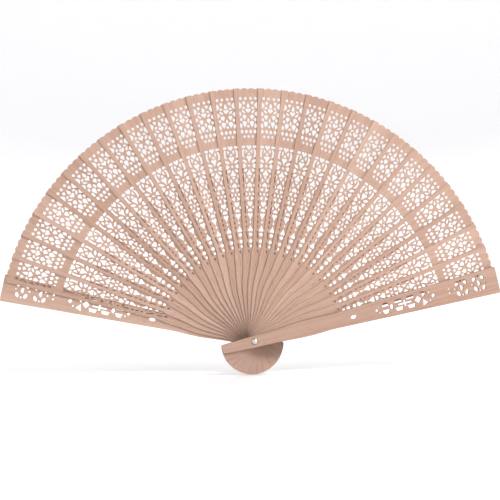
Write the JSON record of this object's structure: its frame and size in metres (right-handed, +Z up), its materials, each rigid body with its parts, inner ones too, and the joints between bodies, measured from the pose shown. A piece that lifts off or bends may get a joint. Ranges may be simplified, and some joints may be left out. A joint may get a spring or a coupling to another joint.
{
  "type": "folding fan",
  "caption": "Hand-held folding fan of thin pierced sandalwood blades with scalloped tips between stout guards, turning on a rivet and linked by a narrow ribbon behind.",
  "frame": {"origin": "on the rivet's axis, at the middle of the stack of leaves", "axes": "+Z up along the middle of the open spread, +X to the right and +Y away from the viewer, seen from the fan's front; the rivet lies along Y"},
  "size_m": [0.3503, 0.0268, 0.2006],
  "materials": {
    "blade_wood": "satin, bare",
    "guard_wood": "satin, bare",
    "rivet_metal": "bright nickel",
    "ribbon": "plain weave"
  },
  "bodies": {
    "rear_guard": {"rear_guard": "guard_wood", "rivet": "rivet_metal", "rear_washer": "rivet_metal"},
    "blade_01": {"blade_01": "blade_wood", "ribbon_link_01": "ribbon"},
    "blade_02": {"blade_02": "blade_wood", "ribbon_link_02": "ribbon"},
    "blade_03": {"blade_03": "blade_wood", "ribbon_link_03": "ribbon"},
    "blade_04": {"blade_04": "blade_wood", "ribbon_link_04": "ribbon"},
    "blade_05": {"blade_05": "blade_wood", "ribbon_link_05": "ribbon"},
    "blade_06": {"blade_06": "blade_wood", "ribbon_link_06": "ribbon"},
    "blade_07": {"blade_07": "blade_wood", "ribbon_link_07": "ribbon"},
    "blade_08": {"blade_08": "blade_wood", "ribbon_link_08": "ribbon"},
    "blade_09": {"blade_09": "blade_wood", "ribbon_link_09": "ribbon"},
    "blade_10": {"blade_10": "blade_wood", "ribbon_link_10": "ribbon"},
    "blade_11": {"blade_11": "blade_wood", "ribbon_link_11": "ribbon"},
    "blade_12": {"blade_12": "blade_wood", "ribbon_link_12": "ribbon"},
    "blade_13": {"blade_13": "blade_wood", "ribbon_link_13": "ribbon"},
    "blade_14": {"blade_14": "blade_wood", "ribbon_link_14": "ribbon"},
    "blade_15": {"blade_15": "blade_wood", "ribbon_link_15": "ribbon"},
    "blade_16": {"blade_16": "blade_wood", "ribbon_link_16": "ribbon"},
    "blade_17": {"blade_17": "blade_wood", "ribbon_link_17": "ribbon"},
    "blade_18": {"blade_18": "blade_wood", "ribbon_link_18": "ribbon"},
    "blade_19": {"blade_19": "blade_wood", "ribbon_link_19": "ribbon"},
    "blade_20": {"blade_20": "blade_wood", "ribbon_link_20": "ribbon"},
    "blade_21": {"blade_21": "blade_wood", "ribbon_link_21": "ribbon"},
    "blade_22": {"blade_22": "blade_wood", "ribbon_link_22": "ribbon"},
    "blade_23": {"blade_23": "blade_wood", "ribbon_link_23": "ribbon"},
    "blade_24": {"blade_24": "blade_wood", "ribbon_link_24": "ribbon"},
    "blade_25": {"blade_25": "blade_wood", "ribbon_link_25": "ribbon"},
    "blade_26": {"blade_26": "blade_wood", "ribbon_link_26": "ribbon"},
    "blade_27": {"blade_27": "blade_wood", "ribbon_link_27": "ribbon"},
    "front_guard": {"front_guard": "guard_wood", "ribbon_link_28": "ribbon"}
  },
  "joints": [
    {"name": "front_guard_swing", "type": "hinge", "parent": "rear_guard", "child": "front_guard", "pos_m": [0, 0, 0], "axis": [0, -1, 0], "range_deg": [0, 154], "deforming": ["ribbon_link_28"]},
    {"name": "blade_01_swing", "type": "hinge", "parent": "rear_guard", "child": "blade_01", "pos_m": [0, 0, 0], "axis": [0, -1, 0], "range_deg": [0, 4.55], "deforming": ["ribbon_link_01"]},
    {"name": "blade_02_swing", "type": "hinge", "parent": "rear_guard", "child": "blade_02", "pos_m": [0, 0, 0], "axis": [0, -1, 0], "range_deg": [0, 10.1], "deforming": ["ribbon_link_02"]},
    {"name": "blade_03_swing", "type": "hinge", "parent": "rear_guard", "child": "blade_03", "pos_m": [0, 0, 0], "axis": [0, -1, 0], "range_deg": [0, 15.65], "deforming": ["ribbon_link_03"]},
    {"name": "blade_04_swing", "type": "hinge", "parent": "rear_guard", "child": "blade_04", "pos_m": [0, 0, 0], "axis": [0, -1, 0], "range_deg": [0, 21.2], "deforming": ["ribbon_link_04"]},
    {"name": "blade_05_swing", "type": "hinge", "parent": "rear_guard", "child": "blade_05", "pos_m": [0, 0, 0], "axis": [0, -1, 0], "range_deg": [0, 26.75], "deforming": ["ribbon_link_05"]},
    {"name": "blade_06_swing", "type": "hinge", "parent": "rear_guard", "child": "blade_06", "pos_m": [0, 0, 0], "axis": [0, -1, 0], "range_deg": [0, 32.3], "deforming": ["ribbon_link_06"]},
    {"name": "blade_07_swing", "type": "hinge", "parent": "rear_guard", "child": "blade_07", "pos_m": [0, 0, 0], "axis": [0, -1, 0], "range_deg": [0, 37.85], "deforming": ["ribbon_link_07"]},
    {"name": "blade_08_swing", "type": "hinge", "parent": "rear_guard", "child": "blade_08", "pos_m": [0, 0, 0], "axis": [0, -1, 0], "range_deg": [0, 43.4], "deforming": ["ribbon_link_08"]},
    {"name": "blade_09_swing", "type": "hinge", "parent": "rear_guard", "child": "blade_09", "pos_m": [0, 0, 0], "axis": [0, -1, 0], "range_deg": [0, 48.95], "deforming": ["ribbon_link_09"]},
    {"name": "blade_10_swing", "type": "hinge", "parent": "rear_guard", "child": "blade_10", "pos_m": [0, 0, 0], "axis": [0, -1, 0], "range_deg": [0, 54.5], "deforming": ["ribbon_link_10"]},
    {"name": "blade_11_swing", "type": "hinge", "parent": "rear_guard", "child": "blade_11", "pos_m": [0, 0, 0], "axis": [0, -1, 0], "range_deg": [0, 60.05], "deforming": ["ribbon_link_11"]},
    {"name": "blade_12_swing", "type": "hinge", "parent": "rear_guard", "child": "blade_12", "pos_m": [0, 0, 0], "axis": [0, -1, 0], "range_deg": [0, 65.6], "deforming": ["ribbon_link_12"]},
    {"name": "blade_13_swing", "type": "hinge", "parent": "rear_guard", "child": "blade_13", "pos_m": [0, 0, 0], "axis": [0, -1, 0], "range_deg": [0, 71.15], "deforming": ["ribbon_link_13"]},
    {"name": "blade_14_swing", "type": "hinge", "parent": "rear_guard", "child": "blade_14", "pos_m": [0, 0, 0], "axis": [0, -1, 0], "range_deg": [0, 76.7], "deforming": ["ribbon_link_14"]},
    {"name": "blade_15_swing", "type": "hinge", "parent": "rear_guard", "child": "blade_15", "pos_m": [0, 0, 0], "axis": [0, -1, 0], "range_deg": [0, 82.25], "deforming": ["ribbon_link_15"]},
    {"name": "blade_16_swing", "type": "hinge", "parent": "rear_guard", "child": "blade_16", "pos_m": [0, 0, 0], "axis": [0, -1, 0], "range_deg": [0, 87.8], "deforming": ["ribbon_link_16"]},
    {"name": "blade_17_swing", "type": "hinge", "parent": "rear_guard", "child": "blade_17", "pos_m": [0, 0, 0], "axis": [0, -1, 0], "range_deg": [0, 93.35], "deforming": ["ribbon_link_17"]},
    {"name": "blade_18_swing", "type": "hinge", "parent": "rear_guard", "child": "blade_18", "pos_m": [0, 0, 0], "axis": [0, -1, 0], "range_deg": [0, 98.9], "deforming": ["ribbon_link_18"]},
    {"name": "blade_19_swing", "type": "hinge", "parent": "rear_guard", "child": "blade_19", "pos_m": [0, 0, 0], "axis": [0, -1, 0], "range_deg": [0, 104.45], "deforming": ["ribbon_link_19"]},
    {"name": "blade_20_swing", "type": "hinge", "parent": "rear_guard", "child": "blade_20", "pos_m": [0, 0, 0], "axis": [0, -1, 0], "range_deg": [0, 110], "deforming": ["ribbon_link_20"]},
    {"name": "blade_21_swing", "type": "hinge", "parent": "rear_guard", "child": "blade_21", "pos_m": [0, 0, 0], "axis": [0, -1, 0], "range_deg": [0, 115.55], "deforming": ["ribbon_link_21"]},
    {"name": "blade_22_swing", "type": "hinge", "parent": "rear_guard", "child": "blade_22", "pos_m": [0, 0, 0], "axis": [0, -1, 0], "range_deg": [0, 121.1], "deforming": ["ribbon_link_22"]},
    {"name": "blade_23_swing", "type": "hinge", "parent": "rear_guard", "child": "blade_23", "pos_m": [0, 0, 0], "axis": [0, -1, 0], "range_deg": [0, 126.65], "deforming": ["ribbon_link_23"]},
    {"name": "blade_24_swing", "type": "hinge", "parent": "rear_guard", "child": "blade_24", "pos_m": [0, 0, 0], "axis": [0, -1, 0], "range_deg": [0, 132.2], "deforming": ["ribbon_link_24"]},
    {"name": "blade_25_swing", "type": "hinge", "parent": "rear_guard", "child": "blade_25", "pos_m": [0, 0, 0], "axis": [0, -1, 0], "range_deg": [0, 137.75], "deforming": ["ribbon_link_25"]},
    {"name": "blade_26_swing", "type": "hinge", "parent": "rear_guard", "child": "blade_26", "pos_m": [0, 0, 0], "axis": [0, -1, 0], "range_deg": [0, 143.3], "deforming": ["ribbon_link_26"]},
    {"name": "blade_27_swing", "type": "hinge", "parent": "rear_guard", "child": "blade_27", "pos_m": [0, 0, 0], "axis": [0, -1, 0], "range_deg": [0, 148.85], "deforming": ["ribbon_link_27"]}
  ],
  "couplings": [
    {"joint": "blade_01_swing", "follows": "front_guard_swing", "ratio": 0.029545},
    {"joint": "blade_02_swing", "follows": "front_guard_swing", "ratio": 0.065584},
    {"joint": "blade_03_swing", "follows": "front_guard_swing", "ratio": 0.10162},
    {"joint": "blade_04_swing", "follows": "front_guard_swing", "ratio": 0.13766},
    {"joint": "blade_05_swing", "follows": "front_guard_swing", "ratio": 0.1737},
    {"joint": "blade_06_swing", "follows": "front_guard_swing", "ratio": 0.20974},
    {"joint": "blade_07_swing", "follows": "front_guard_swing", "ratio": 0.24578},
    {"joint": "blade_08_swing", "follows": "front_guard_swing", "ratio": 0.28182},
    {"joint": "blade_09_swing", "follows": "front_guard_swing", "ratio": 0.31786},
    {"joint": "blade_10_swing", "follows": "front_guard_swing", "ratio": 0.3539},
    {"joint": "blade_11_swing", "follows": "front_guard_swing", "ratio": 0.38994},
    {"joint": "blade_12_swing", "follows": "front_guard_swing", "ratio": 0.42597},
    {"joint": "blade_13_swing", "follows": "front_guard_swing", "ratio": 0.46201},
    {"joint": "blade_14_swing", "follows": "front_guard_swing", "ratio": 0.49805},
    {"joint": "blade_15_swing", "follows": "front_guard_swing", "ratio": 0.53409},
    {"joint": "blade_16_swing", "follows": "front_guard_swing", "ratio": 0.57013},
    {"joint": "blade_17_swing", "follows": "front_guard_swing", "ratio": 0.60617},
    {"joint": "blade_18_swing", "follows": "front_guard_swing", "ratio": 0.64221},
    {"joint": "blade_19_swing", "follows": "front_guard_swing", "ratio": 0.67825},
    {"joint": "blade_20_swing", "follows": "front_guard_swing", "ratio": 0.71429},
    {"joint": "blade_21_swing", "follows": "front_guard_swing", "ratio": 0.75032},
    {"joint": "blade_22_swing", "follows": "front_guard_swing", "ratio": 0.78636},
    {"joint": "blade_23_swing", "follows": "front_guard_swing", "ratio": 0.8224},
    {"joint": "blade_24_swing", "follows": "front_guard_swing", "ratio": 0.85844},
    {"joint": "blade_25_swing", "follows": "front_guard_swing", "ratio": 0.89448},
    {"joint": "blade_26_swing", "follows": "front_guard_swing", "ratio": 0.93052},
    {"joint": "blade_27_swing", "follows": "front_guard_swing", "ratio": 0.96656}
  ]
}
